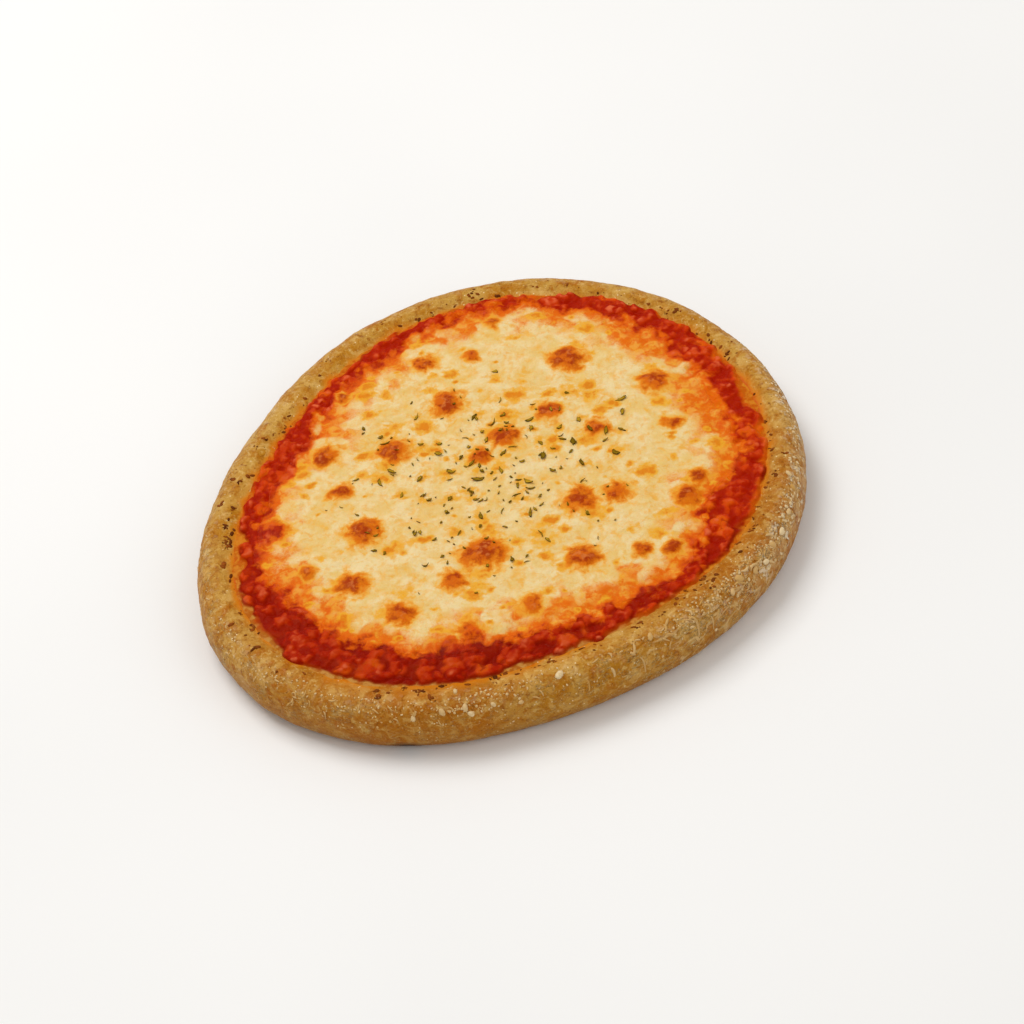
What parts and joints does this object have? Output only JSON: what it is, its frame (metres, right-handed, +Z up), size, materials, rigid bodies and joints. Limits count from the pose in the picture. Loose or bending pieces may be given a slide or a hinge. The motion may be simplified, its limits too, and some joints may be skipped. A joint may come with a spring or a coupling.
{
  "type": "mini pizza",
  "caption": "Oval mini pizza with a puffed wholemeal rim, tomato sauce showing round its edge, and browned melted cheese strewn with dried herbs.",
  "frame": {"origin": "middle of the bounding box of the flat underside, on the surface the pizza lies on", "axes": "+Z up through the pizza's thickness, +X to the right and +Y away from the viewer as in the picture"},
  "size_m": [0.1406, 0.1378, 0.0141],
  "materials": {
    "crust": "baked wholemeal dough, matte and a little floury",
    "sauce": "glossy, lumpy baked tomato sauce",
    "cheese": "melted cheese with browned blisters and dried herbs"
  },
  "bodies": {
    "root": {"crust": "crust", "sauce": "sauce", "cheese": "cheese"}
  },
  "joints": []
}
